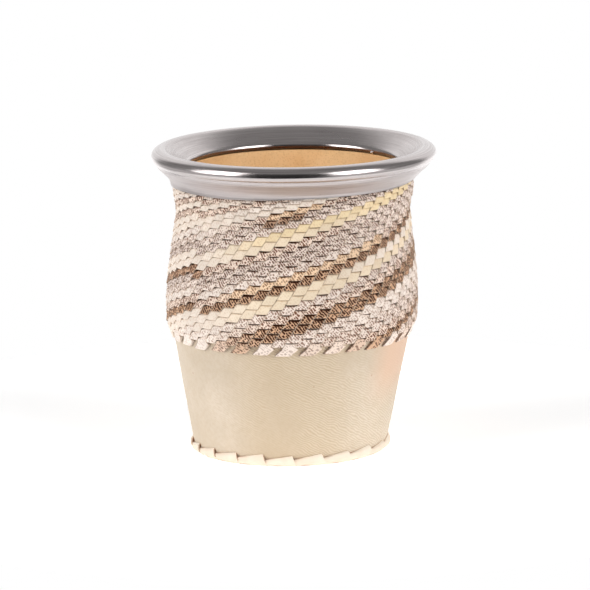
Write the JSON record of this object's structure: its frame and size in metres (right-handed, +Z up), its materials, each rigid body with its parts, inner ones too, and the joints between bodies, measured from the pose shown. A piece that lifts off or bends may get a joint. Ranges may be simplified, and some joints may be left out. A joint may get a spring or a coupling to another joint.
{
  "type": "mate gourd cup",
  "caption": "Empty mate gourd cup: rawhide body with a spiral sleeve of plaited strips, leather lining, rolled steel rim and laced round base.",
  "frame": {"origin": "on the base plane, below the centre of the rim", "axes": "+Z up out of the mouth; the side that the picture shows faces -Y, with +X to its right"},
  "size_m": [0.09, 0.09, 0.0965],
  "materials": {
    "steel": "spun steel, satin funnel and polished roll",
    "lining": "tan vegetable-tanned leather, fine grain",
    "rawhide": "pale dry rawhide with fine wavy grain",
    "lace": "pale rawhide lace",
    "sole": "plain sole leather",
    "strip_cream": "rawhide strip, cream",
    "strip_yellow": "rawhide strip, cream yellow",
    "strip_lilac": "rawhide strip, pale lilac grey",
    "strip_grey": "rawhide strip, speckled grey",
    "strip_pink": "rawhide strip, speckled pinkish grey",
    "strip_tan": "rawhide strip, speckled orange tan",
    "strip_brown": "rawhide strip, speckled dark brown"
  },
  "bodies": {
    "root": {"rim": "steel", "lining": "lining", "body": "rawhide", "base_lace": "lace", "sole": "sole", "strip_01": "strip_pink", "strip_02": "strip_pink", "strip_03": "strip_brown", "strip_04": "strip_grey", "strip_05": "strip_lilac", "strip_06": "strip_lilac", "strip_07": "strip_cream", "strip_08": "strip_lilac", "strip_09": "strip_pink", "strip_10": "strip_lilac", "strip_11": "strip_pink", "strip_12": "strip_cream", "strip_13": "strip_cream", "strip_14": "strip_tan", "strip_15": "strip_brown", "strip_16": "strip_grey", "strip_17": "strip_yellow", "strip_18": "strip_yellow", "strip_19": "strip_pink", "strip_20": "strip_grey", "strip_21": "strip_grey", "strip_22": "strip_lilac", "strip_23": "strip_tan", "strip_24": "strip_brown", "strip_25": "strip_cream", "strip_26": "strip_cream", "strip_27": "strip_lilac", "strip_28": "strip_pink", "strip_29": "strip_tan", "strip_30": "strip_brown", "strip_31": "strip_lilac", "strip_32": "strip_lilac"}
  },
  "joints": []
}
